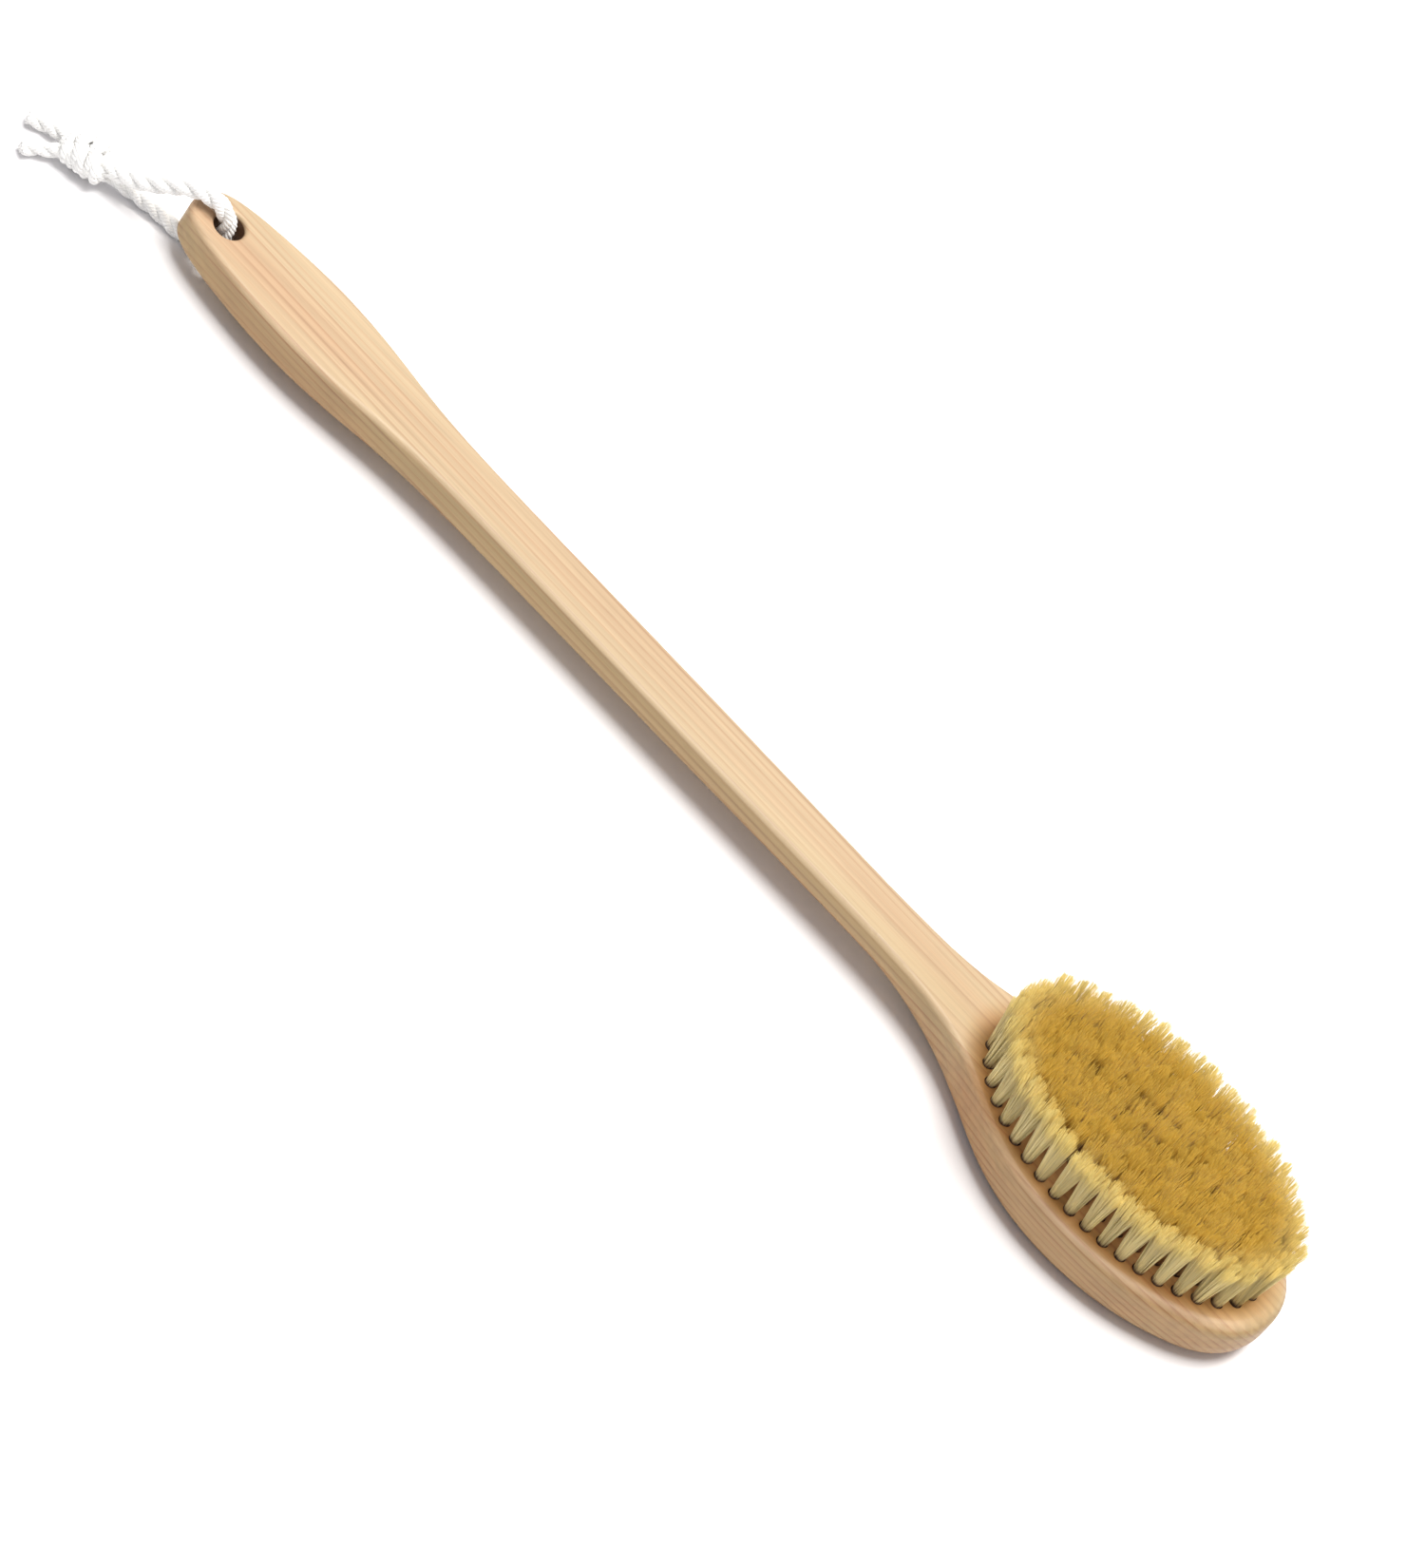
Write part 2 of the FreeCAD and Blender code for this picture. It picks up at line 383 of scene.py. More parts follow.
@dataclass(frozen=True)
class WoodFinish:
    """Pale, fine-grained wood, sanded and lightly oiled, its grain along the handle."""

    pale: tuple[float, float, float, float] = (0.555, 0.415, 0.255, 1.0)
    warm: tuple[float, float, float, float] = (0.535, 0.355, 0.212, 1.0)
    line: tuple[float, float, float, float] = (0.370, 0.180, 0.095, 1.0)
    sap: tuple[float, float, float, float] = (0.460, 0.360, 0.195, 1.0)
    # Inside the rope hole and the tuft holes: partly stain and end grain, partly painted shade of
    # the recesses.
    bored: tuple[float, float, float, float] = (0.120, 0.045, 0.015, 1.0)
    # Side faces below the top edge: painted shade, darker and yellower, with a yellower layer of
    # the wood.
    flank_tint: tuple[float, float, float, float] = (0.800, 0.740, 0.570, 1.0)
    # Wood round the tufts: painted shade under the bristles and painted yellow light bounced off
    # them.
    tuft_tint: tuple[float, float, float, float] = (0.900, 0.640, 0.330, 1.0)
    drift: Grain = Grain((5.0, 70.0, 70.0), low=0.36, high=0.66)
    wander: Grain = Grain((3.2, 26.0, 26.0), rough=0.4)
    fading: Grain = Grain((6.0, 210.0, 210.0), (0.6, 0.2, 0.4), detail=1.0, rough=0.4,
                          low=0.35, high=0.65)
    sapwood: Grain = Grain((4.0, 45.0, 120.0), (0.3, 0.1, 0.7), detail=1.0, rough=0.4,
                           low=0.52, high=0.72)
    fibres: Grain = Grain((9.0, 620.0, 620.0), detail=4.0, rough=0.62, low=0.25, high=0.75)
    flecks: Grain = Grain((90.0, 2300.0, 2300.0), low=0.62, high=0.74)
    ring_spacing: float = 1.7 * MM
    ring_wander: float = 6 * MM
    heart_below: float = 42 * MM
    heart_aside: float = 60 * MM
    late_wood_band: tuple[float, float] = (0.35, 0.93)
    late_wood_power: float = 1.7
    line_strength: tuple[float, float] = (0.42, 0.12)
    flank_line_strength: float = 0.28
    sap_strength: float = 0.6
    bored_strength: float = 0.9
    streak_shade: tuple[float, float] = (0.20, 0.89)
    fleck_shade: tuple[float, float] = (-0.10, 1.0)
    roughness: tuple[float, float] = (0.16, 0.40)
    flank_band: tuple[float, float] = (0.5 * MM, 1.7 * MM)
    tuft_band: tuple[float, float] = (1.16, 0.96)
    wall_band: tuple[float, float] = (1.0, 0.985)
    hole_rim: float = 0.9 * MM
    tuft_rim: float = 0.15 * MM
    rim_fade: float = 0.5 * MM
    relief: float = 0.05 * MM

    def build(self, hole: "Oval", tufts: "Oval", face_height: float) -> bpy.types.Material:
        """Make the material.

        Args:
            hole: The rope hole's outline.
            tufts: The outline of the tuft field.
            face_height: Height of the wood's top face.

        Returns:
            The material.
        """
        sheet = NodeSheet("oiled pale wood")
        fibres, flecks = self.fibres.noise(sheet), self.flecks.noise(sheet)
        start, end = self.flank_band
        flank = sheet.ramp(sheet.height(), face_height - start, face_height - end)
        strength = sheet.swing(self.fading.shown(sheet), *self.line_strength)
        strength = sheet.swing(flank, self.flank_line_strength, strength)
        rings = sheet.maths("MULTIPLY", self.growth_rings(sheet), strength)
        sapwood = sheet.maths("MULTIPLY", self.sapwood.shown(sheet), self.sap_strength)
        streak = sheet.ramp(fibres, self.fibres.low, self.fibres.high)
        fleck = sheet.ramp(flecks, self.flecks.low, self.flecks.high)
        colour = sheet.blend(self.drift.shown(sheet), self.pale, self.warm)
        colour = sheet.blend(rings, colour, self.line)
        colour = sheet.blend(sapwood, colour, self.sap)
        colour = sheet.shaded(colour, sheet.swing(streak, *self.streak_shade))
        colour = sheet.shaded(colour, sheet.swing(fleck, *self.fleck_shade))
        # Painted shade on the side faces, with a yellower layer of the wood.
        colour = sheet.blend(flank, colour, sheet.tinted(colour, self.flank_tint))
        # Painted shade and painted bounced light on the wood round the tufts.
        tuft_shade_mask = sheet.ramp(tufts.reach(sheet), *self.tuft_band)
        colour = sheet.blend(tuft_shade_mask, colour, sheet.tinted(colour, self.tuft_tint))
        # Hole walls and bottoms darkened: partly stain and end grain, partly painted shade of the
        # recesses.
        bored = sheet.maths("MAXIMUM", self.inside(sheet, hole, face_height - self.hole_rim),
                            self.inside(sheet, tufts, face_height - self.tuft_rim))
        bored = sheet.maths("MULTIPLY", bored, self.bored_strength)
        colour = sheet.blend(bored, colour, self.bored)
        sheet.surface({"Base Color": colour, "Roughness": sheet.swing(fibres, *self.roughness),
                       "Specular IOR Level": 0.42, "Coat Weight": 0.08, "Coat Roughness": 0.35})
        relief = sheet.swing(fibres, 0.6, sheet.maths("MULTIPLY", flecks, 0.4))
        sheet.bump(relief, self.relief, strength=0.6)
        return sheet.material

    def growth_rings(self, sheet: NodeSheet) -> bpy.types.NodeSocket:
        """Draw the lines where yearly rings, centred under the board, come to the surface.

        Args:
            sheet: The wood's node tree.

        Returns:
            1 where a line is darkest, 0 between lines.
        """
        _, aside, up = sheet.split(sheet.stretched(shift=(0.0, self.heart_aside, self.heart_below)))
        squares = [sheet.maths("POWER", part, 2.0) for part in (aside, up)]
        radius = sheet.maths("SQRT", sheet.maths("ADD", *squares))
        radius = sheet.swing(self.wander.noise(sheet), self.ring_wander, radius)
        phase = sheet.maths("FRACT", sheet.maths("DIVIDE", radius, self.ring_spacing))
        start, darkest = self.late_wood_band
        rise = sheet.maths("POWER", sheet.ramp(phase, start, darkest), self.late_wood_power)
        return sheet.maths("MULTIPLY", rise, sheet.ramp(phase, 1.0, darkest))

    def inside(self, sheet: NodeSheet, oval: "Oval", below: float) -> bpy.types.NodeSocket:
        """Find what is inside an upright oval wall and below a height.

        Args:
            sheet: The wood's node tree.
            oval: The wall's outline.
            below: The height.

        Returns:
            1 inside and below, 0 elsewhere.
        """
        under = sheet.ramp(sheet.height(), below, below - self.rim_fade)
        return sheet.maths("MULTIPLY", sheet.ramp(oval.reach(sheet), *self.wall_band), under)


@dataclass(frozen=True)
class BristleFinish:
    """Natural bristle: cream shafts, golden towards the tips, with painted light and shade: brown
    painted shade at the feet, dark brown painted shade and glow low down inside the head, and paler
    tips painted as lit on the outer flank.

    Bands along a bristle go from 0 at its foot to 1 at its tip. Bands across the head go from 0
    at its middle to 1 at the outermost ring of tufts.
    """

    # Painted shade at the feet of the bristles.
    root: tuple[float, float, float, float] = (0.400, 0.180, 0.040, 1.0)
    # Painted shade and painted glow of light through the fibres, low down inside the head.
    deep: tuple[float, float, float, float] = (0.480, 0.200, 0.030, 1.0)
    shaft: tuple[float, float, float, float] = (0.920, 0.765, 0.355, 1.0)
    # Golden tips: partly the fibres' own colour, partly painted glow of light through them.
    gold: tuple[float, float, float, float] = (0.590, 0.375, 0.050, 1.0)
    # Tips on the outer flank paler: painted light where light falls on them.
    pale_tip: tuple[float, float, float, float] = (0.820, 0.660, 0.240, 1.0)
    root_band: tuple[float, float] = (0.05, 0.15)
    deep_band: tuple[float, float] = (0.35, 0.80)
    tip_band: tuple[float, float] = (0.60, 0.99)
    # Inside this band across the head the bristles take the painted shade and glow instead of the
    # cream shaft.
    shaft_across: tuple[float, float] = (0.83, 0.93)
    pale_tip_across: tuple[float, float] = (0.82, 1.14)
    own_shade: tuple[float, float] = (0.42, 0.74)

    def build(self, edge: "Oval") -> bpy.types.Material:
        """Make the material, coloured along each bristle and from one bristle to the next.

        Args:
            edge: The oval of the outermost tufts, outside which the tips are painted paler, as
                painted light on the outer flank.

        Returns:
            The material.
        """
        sheet = NodeSheet("natural bristle")
        lie = sheet.add("ShaderNodeUVMap", uv_map=FibreStock.LAYER)
        own, along, _ = sheet.split(lie.outputs["UV"])
        across = edge.reach(sheet)
        # Tips painted paler, as lit, outside the outermost ring; golden inside, partly painted
        # glow.
        tip = sheet.blend(sheet.ramp(across, *self.pale_tip_across), self.gold, self.pale_tip)
        # Painted shade at each bristle's foot.
        shaft = sheet.blend(sheet.ramp(along, *self.root_band), self.root, self.shaft)
        # Painted shade and glow on the inner bristles, up to their golden tops.
        inner_shade_and_glow = sheet.blend(sheet.ramp(along, *self.deep_band), self.deep, self.gold)
        colour = sheet.blend(sheet.ramp(across, *self.shaft_across), inner_shade_and_glow, shaft)
        colour = sheet.blend(sheet.ramp(along, *self.tip_band), colour, tip)
        colour = sheet.shaded(colour, sheet.swing(own, *self.own_shade))
        sheet.surface({"Base Color": colour, "Roughness": 0.42, "Specular IOR Level": 0.35,
                       "Sheen Weight": 0.15, "Sheen Roughness": 0.5})
        return sheet.material


@dataclass(frozen=True)
class CottonFinish:
    """Soft white cotton."""

    white: tuple[float, float, float, float] = (0.950, 0.945, 0.930, 1.0)
    shade: tuple[float, float, float, float] = (0.860, 0.840, 0.790, 1.0)
    fine: Grain = Grain(scale=2600.0, detail=3.0, rough=0.6, low=0.5, high=0.75)
    broad: Grain = Grain(scale=260.0, low=0.3, high=0.7)
    relief: float = 0.06 * MM

    def build(self) -> bpy.types.Material:
        """Make the material.

        Returns:
            The material.
        """
        sheet = NodeSheet("soft white cotton")
        fine = self.fine.noise(sheet)
        mottle = sheet.maths("MULTIPLY", sheet.ramp(fine, self.fine.low, self.fine.high),
                             self.broad.shown(sheet))
        sheet.surface({"Base Color": sheet.blend(mottle, self.white, self.shade), "Roughness": 0.9,
                       "Specular IOR Level": 0.15, "Sheen Weight": 0.35, "Sheen Roughness": 0.6})
        sheet.bump(fine, self.relief, strength=0.7)
        return sheet.material


@dataclass(frozen=True)
class WireFinish:
    """Drawn brass wire."""

    brass: tuple[float, float, float, float] = (0.560, 0.380, 0.150, 1.0)
    scratches: Grain = Grain((200.0, 6000.0, 6000.0))
    shade: tuple[float, float] = (0.3, 0.85)
    roughness: tuple[float, float] = (0.2, 0.25)

    def build(self) -> bpy.types.Material:
        """Make the material, faintly scratched along the wire.

        Returns:
            The material.
        """
        sheet = NodeSheet("drawn brass wire")
        scratches = self.scratches.noise(sheet)
        sheet.surface({"Base Color": sheet.shaded(self.brass, sheet.swing(scratches, *self.shade)),
                       "Metallic": 1.0, "Roughness": sheet.swing(scratches, *self.roughness)})
        return sheet.material


@dataclass(frozen=True)
class FloorFinish:
    """Plain pale studio floor."""

    pale: tuple[float, float, float, float] = (0.950, 0.940, 0.955, 1.0)

    def build(self) -> bpy.types.Material:
        """Make the material.

        Returns:
            The material.
        """
        sheet = NodeSheet("pale floor")
        sheet.surface({"Base Color": self.pale, "Roughness": 0.85, "Specular IOR Level": 0.1})
        return sheet.material


# ---------------------------------------------------------------- shapes


@dataclass(frozen=True)
class Oval:
    """A level oval."""

    centre: Vector
    half_long: float
    half_wide: float
    walk_steps: int = 2000

    def reach(self, sheet: NodeSheet) -> bpy.types.NodeSocket:
        """Measure how far out a place is, from above.

        Args:
            sheet: The node tree that measures.

        Returns:
            0 at the oval's centre, 1 on the oval and more outside it.
        """
        scale = (1 / self.half_long, 1 / self.half_wide, 0.0)
        shift = (-self.centre.x / self.half_long, -self.centre.y / self.half_wide, 0.0)
        length = sheet.add("ShaderNodeVectorMath", operation="LENGTH")
        sheet.join(sheet.stretched(scale, shift), length.inputs[0])
        return length.outputs["Value"]

    def inset(self, amount: float) -> "Oval":
        """The same oval, smaller by an amount all round."""
        return Oval(self.centre, self.half_long - amount, max(self.half_wide - amount, 0.0))

    def places(self, pitch: float) -> list[Vector]:
        """Evenly spaced points along the oval, starting at its +X end.

        Args:
            pitch: Least distance between neighbours along the oval.

        Returns:
            The points, an even number of them.
        """
        line = []
        for step in range(self.walk_steps + 1):
            angle = 2 * math.pi * step / self.walk_steps
            aside = Vector((self.half_long * math.cos(angle), self.half_wide * math.sin(angle), 0))
            line.append(self.centre + aside)
        reach = [0.0]
        for before, after in zip(line, line[1:]):
            reach.append(reach[-1] + (after - before).length)
        count = 2 * int(0.5 * reach[-1] / pitch)
        found, at = [], 0
        for number in range(count):
            while reach[at] < reach[-1] * number / count:
                at += 1
            found.append(line[at])
        return found


class FibreStock:
    """Fibres cut from one unit length with a three-sided section.

    Their UV layer carries each fibre's own number across and the distance along it upwards.
    """

    LAYER = "fibre"

    def __init__(self, cuts: int) -> None:
        """Make the unit length.

        Args:
            cuts: How many cuts it has along it, where it can bend.
        """
        bm = bmesh.new()
        layer = bm.loops.layers.uv.new(self.LAYER)
        bmesh.ops.create_cone(bm, cap_ends=True, segments=3, radius1=0.5, radius2=0.5, depth=1.0)
        upright = [e for e in bm.edges if abs(e.verts[0].co.z - e.verts[1].co.z) > 0.5]
        bmesh.ops.subdivide_edges(bm, edges=upright, cuts=cuts)
        bmesh.ops.translate(bm, vec=(0, 0, 0.5), verts=bm.verts[:])
        for face in bm.faces:
            for loop in face.loops:
                loop[layer].uv = (0.0, loop.vert.co.z)
        self.mesh = mesh_from(bm, "fibre stock")

    def start(self) -> bmesh.types.BMesh:
        """Start an empty bmesh for fibres.

        Returns:
            The bmesh, with a layer for the fibres' numbers.
        """
        bm = bmesh.new()
        bm.loops.layers.uv.new(self.LAYER)
        return bm

    def lay(self, bm: bmesh.types.BMesh, ends: tuple[Vector, Vector], bow: Vector,
            wide: tuple[float, float], own: float) -> None:
        """Lay one fibre.

        Args:
            bm: The bmesh to lay it in.
            ends: Its foot and its tip.
            bow: How far its middle is bent aside.
            wide: Its width at the foot and at the tip.
            own: A number from 0 to 1 that sets its shade.
        """
        verts, faces = len(bm.verts), len(bm.faces)
        bm.from_mesh(self.mesh)
        bm.verts.ensure_lookup_table()
        bm.faces.ensure_lookup_table()
        for vert in bm.verts[verts:]:
            along = vert.co.z
            across = Vector((vert.co.x, vert.co.y, 0)) * (wide[0] + (wide[1] - wide[0]) * along)
            vert.co = ends[0].lerp(ends[1], along) + bow * (4 * along * (1 - along)) + across
        layer = bm.loops.layers.uv[self.LAYER]
        for face in bm.faces[faces:]:
            for loop in face.loops:
                loop[layer].uv = (own, loop[layer].uv.y)


# ---------------------------------------------------------------- bristles


@dataclass(frozen=True)
class TuftStyle:
    """How a tuft's tips gather: in how many locks, how closely, how unevenly and how domed.

    The sway is how far the whole tuft leans at random, in mm.
    """

    name: str
    locks: int
    pull: float
    uneven: float
    dome: float
    sway: float


@dataclass
class BristleField:
    """All the tufts of the head, one piece for each oval ring of them."""

    oval: Oval
    face_height: float
    inset: float = 6.0 * MM
    pitch: float = 5.7 * MM
    hole_half: float = 1.4 * MM
    sunk: float = 1.6 * MM
    free_length: float = 20.0 * MM
    tip_half: float = 3.7 * MM
    proud: float = 0.5 * MM
    edge_tuft: TuftStyle = TuftStyle("edge", 7, 0.28, 0.50 * MM, 2.1 * MM, 0.35)
    inner_tuft: TuftStyle = TuftStyle("inner", 9, 0.10, 0.32 * MM, 0.25 * MM, 0.4)
    dome_power: float = 2.5
    fibres: int = 235
    patterns: int = 12
    thick: float = 0.22 * MM
    point: float = 0.12 * MM
    lock_tone: float = 0.35
    own_tone: float = 0.65
    splay: float = 0.05
    lean_lengthwise: float = 0.4
    growth: tuple[float, float] = (0.98, 1.01)
    # The outward lean and random spreads in mm. The cut is a mean and a spread.
    lean_out: float = 0.8
    stray: float = 0.25
    bend: float = 0.16
    cut: tuple[float, float] = (-0.2, 0.4)
    stock: FibreStock = field(default_factory=lambda: FibreStock(2))
    draw: random.Random = field(default_factory=lambda: random.Random(41))

    def build(self, finish: BristleFinish) -> None:
        """Build and dress every ring, outermost first, attach it to the brush and hide the CAD
        tufts that it stands for.

        Args:
            finish: The bristles' finish.
        """
        material = finish.build(self.oval)
        edge, inner = ([self.tuft_pattern(f"{style.name} {number}", style)
                        for number in range(self.patterns)]
                       for style in (self.edge_tuft, self.inner_tuft))
        for number, name in enumerate(RING_NAMES):
            style, patterns = (self.inner_tuft, inner) if number else (self.edge_tuft, edge)
            ring = self.build_ring(name, self.ring_places(number), style, patterns)
            ring.data.materials.append(material)
            settle(ring, Body.BRUSH, Slot.BRISTLE, (f"bristle_tufts_{name}_ring",))
        for pattern in edge + inner:
            bpy.data.meshes.remove(pattern)

    def ring_places(self, number: int) -> list[Vector]:
        """Find where the tufts of a ring stand.

        Args:
            number: The ring's number, 0 for the outermost.

        Returns:
            The tufts' places, evenly spaced on an oval, or on a row where the oval is too narrow.
        """
        oval = self.oval.inset(number * self.inset)
        if oval.half_wide > 0.5 * self.inset:
            return oval.places(self.pitch)
        gaps = int((oval.half_long - 0.5 * self.inset) / self.pitch)
        return [oval.centre + Vector((self.pitch * i, 0, 0)) for i in range(-gaps, gaps + 1)]

    def on_disc(self) -> Vector:
        """A random point on a flat disc of radius 1."""
        angle, share = self.draw.uniform(0, 2 * math.pi), math.sqrt(self.draw.random())
        return Vector((math.cos(angle), math.sin(angle), 0)) * share

    def scatter(self, spread: float) -> Vector:
        """A random step aside, with a spread in mm."""
        return Vector((self.draw.gauss(0, spread), self.draw.gauss(0, spread), 0)) * MM

    def tuft_pattern(self, name: str, style: TuftStyle) -> bpy.types.Mesh:
        """One tuft's fibres, standing at the origin, their tips drawn together in a few locks.

        Args:
            name: The pattern's name.
            style: How its tips gather.

        Returns:
            The tuft as a mesh.
        """
        bm = self.stock.start()
        locks = [(self.on_disc(), self.draw.gauss(0, style.uneven), self.draw.random())
                 for _ in range(style.locks)]
        for _ in range(self.fibres):
            out = self.on_disc()
            centre, height, tone = min(locks, key=lambda lock: (lock[0] - out).length)
            foot = out * self.hole_half - Vector((0, 0, self.sunk))
            tip = out.lerp(centre, style.pull) * self.tip_half + self.scatter(self.stray)
            tip.z = self.free_length + self.draw.gauss(*self.cut) * MM + height
            domed = tip.z - style.dome * out.length ** self.dome_power
            tip.z = min(domed, self.free_length + self.proud)
            bow = -out * (self.splay * self.tip_half) + self.scatter(self.bend)
            own = self.lock_tone * tone + self.own_tone * self.draw.random()
            self.stock.lay(bm, (foot, tip), bow, (self.thick, self.point), own)
        return mesh_from(bm, f"tuft pattern {name}")

    def lean(self, place: Vector, style: TuftStyle) -> Vector:
        """Find how far a tuft's tip leans from upright: outwards, and a little at random.

        Args:
            place: Where the tuft stands.
            style: Its style.

        Returns:
            How far its tip is aside of its foot.
        """
        away = place - self.oval.centre
        along = self.lean_lengthwise * away.x / self.oval.half_long
        outward = Vector((along, away.y / self.oval.half_wide, 0)) * self.lean_out * MM
        return outward + self.scatter(style.sway)

    def build_ring(self, name: str, places: list[Vector], style: TuftStyle,
                   patterns: list[bpy.types.Mesh]) -> bpy.types.Object:
        """Build one ring of tufts, each a turned, leaning copy of a pattern.

        Args:
            name: The ring's name.
            places: Where its tufts stand.
            style: Their style.
            patterns: Tufts of that style to copy.

        Returns:
            The ring.
        """
        bm = self.stock.start()
        for place in places:
            before = len(bm.verts)
            bm.from_mesh(self.draw.choice(patterns))
            bm.verts.ensure_lookup_table()
            lean = self.lean(place, style)
            slope = Matrix.Identity(4)
            slope[0][2], slope[1][2] = lean.x / self.free_length, lean.y / self.free_length
            grow = Matrix.Diagonal((1.0, 1.0, self.draw.uniform(*self.growth), 1.0))
            turn = Matrix.Rotation(self.draw.uniform(0, 2 * math.pi), 4, "Z")
            move = Matrix.Translation((place.x, place.y, self.face_height))
            bmesh.ops.transform(bm, matrix=move @ slope @ grow @ turn, verts=bm.verts[before:])
        return add_object(f"bristle_ring_{name}", mesh_from(bm, f"bristle ring {name}"))


# ---------------------------------------------------------------- rope


class Line:
    """A smooth line in space, walked in even steps with a frame that doesn't twist."""

    TINY = 1e-12

    def __init__(self, points: list[Vector], step: float) -> None:
        """Resample points to an even step and carry a frame along them."""
        self.points = self.even(points, step)
        self.frames = self.carried()

    @staticmethod
    def even(points: list[Vector], step: float) -> list[Vector]:
        """Walk a polyline in even steps.

        Args:
            points: The polyline.
            step: About how long each step is.

        Returns:
            The points stepped on, both ends among them.
        """
        reach = [0.0]
        for before, after in zip(points, points[1:]):
            reach.append(reach[-1] + (after - before).length)
        count = max(2, round(reach[-1] / step))
        found, at = [], 0
        for number in range(count + 1):
            want = reach[-1] * number / count
            while at < len(points) - 2 and reach[at + 1] < want:
                at += 1
            gap = max(reach[at + 1] - reach[at], Line.TINY)
            found.append(points[at].lerp(points[at + 1], (want - reach[at]) / gap))
        return found

    @property
    def length(self) -> float:
        """The line's length."""
        return sum((b - a).length for a, b in zip(self.points, self.points[1:]))

    def carried(self) -> list[tuple[Vector, Vector]]:
        """Carry a frame along the line without twist.

        Returns:
            Two directions square to the line at each point.
        """
        frames, side = [], None
        last = len(self.points) - 1
        for number in range(last + 1):
            ahead = self.points[min(number + 1, last)] - self.points[max(number - 1, 0)]
            ahead.normalize()
            if side is None:
                side = ahead.orthogonal()
            side = side - ahead * side.dot(ahead)
            side.normalize()
            frames.append((side.copy(), ahead.cross(side)))
        return frames

    def wound(self, radius: float, turns_per_m: float, start: float,
              inner: tuple[float, float, float]) -> list[Vector]:
        """Wind a helix round the line, itself wound into a second, smaller helix.

        Args:
            radius: The helix's radius.
            turns_per_m: Turns in a metre, negative for the other hand.
            start: Angle at the line's start.
            inner: Radius, turns per metre and start angle of the second helix.

        Returns:
            The second helix's points.
        """
        small, rate, first = inner
        found, reach, before = [], 0.0, self.points[0]
        for point, (side, up) in zip(self.points, self.frames):
            reach += (point - before).length
            before = point
            angle = start + 2 * math.pi * turns_per_m * reach
            place = point + (side * math.cos(angle) + up * math.sin(angle)) * radius
            angle = first + 2 * math.pi * rate * reach
            place = place + (side * math.cos(angle) + up * math.sin(angle)) * small
            found.append(place)
        return found


@dataclass
class TwistedRope:
    """How the rope is laid up: three strands, each of several finer plies wound the other way."""

    wide: float = 4.7 * MM
    strands: int = 3
    plies: int = 5
    strand_turns: float = 62.0
    ply_turns: float = 210.0
    strand_share: float = 0.53
    ply_share: float = 0.42
    strand_lay: Lay = Lay.RIGHT
    ply_lay: Lay = Lay.LEFT
    step: float = 0.45 * MM

    def lay_up(self, name: str, lines: list[Line], swell: float = 1.0) -> bpy.types.Mesh:
        """Every ply along every line, as one mesh of tubes.

        Args:
            name: The mesh's name.
            lines: The rope's centre lines.
            swell: How much thicker or thinner than usual the soft rope lies.

        Returns:
            The mesh.
        """
        half = 0.5 * self.wide * swell
        strand_half = self.strand_share * half
        ply_half = self.ply_share * strand_half
        strand_turns = self.strand_lay.value * self.strand_turns
        ply_turns = self.ply_lay.value * self.ply_turns
        sheaf = bpy.data.curves.new(name, "CURVE")
        sheaf.dimensions = "3D"
        sheaf.bevel_depth = ply_half
        sheaf.bevel_resolution = 1
        sheaf.use_fill_caps = True
        for line in lines:
            for strand in range(self.strands):
                start = 2 * math.pi * strand / self.strands
                for ply in range(self.plies):
                    first = 2 * math.pi * ply / self.plies
                    inner = (strand_half - ply_half, ply_turns, first)
                    path = line.wound(half - strand_half, strand_turns, start, inner)
                    self.add_ply(sheaf, path)
        holder = bpy.data.objects.new(name, sheaf)
        mesh = bpy.data.meshes.new_from_object(holder)
        bpy.data.objects.remove(holder)
        bpy.data.curves.remove(sheaf)
        mesh.shade_smooth()
        return mesh

    @staticmethod
    def add_ply(sheaf: bpy.types.Curve, path: list[Vector]) -> None:
        """Add one ply to a curve.

        Args:
            sheaf: The curve.
            path: The ply's path.
        """
        spline = sheaf.splines.new("POLY")
        spline.points.add(len(path) - 1)
        for point, place in zip(spline.points, path):
            point.co = (*place, 1.0)


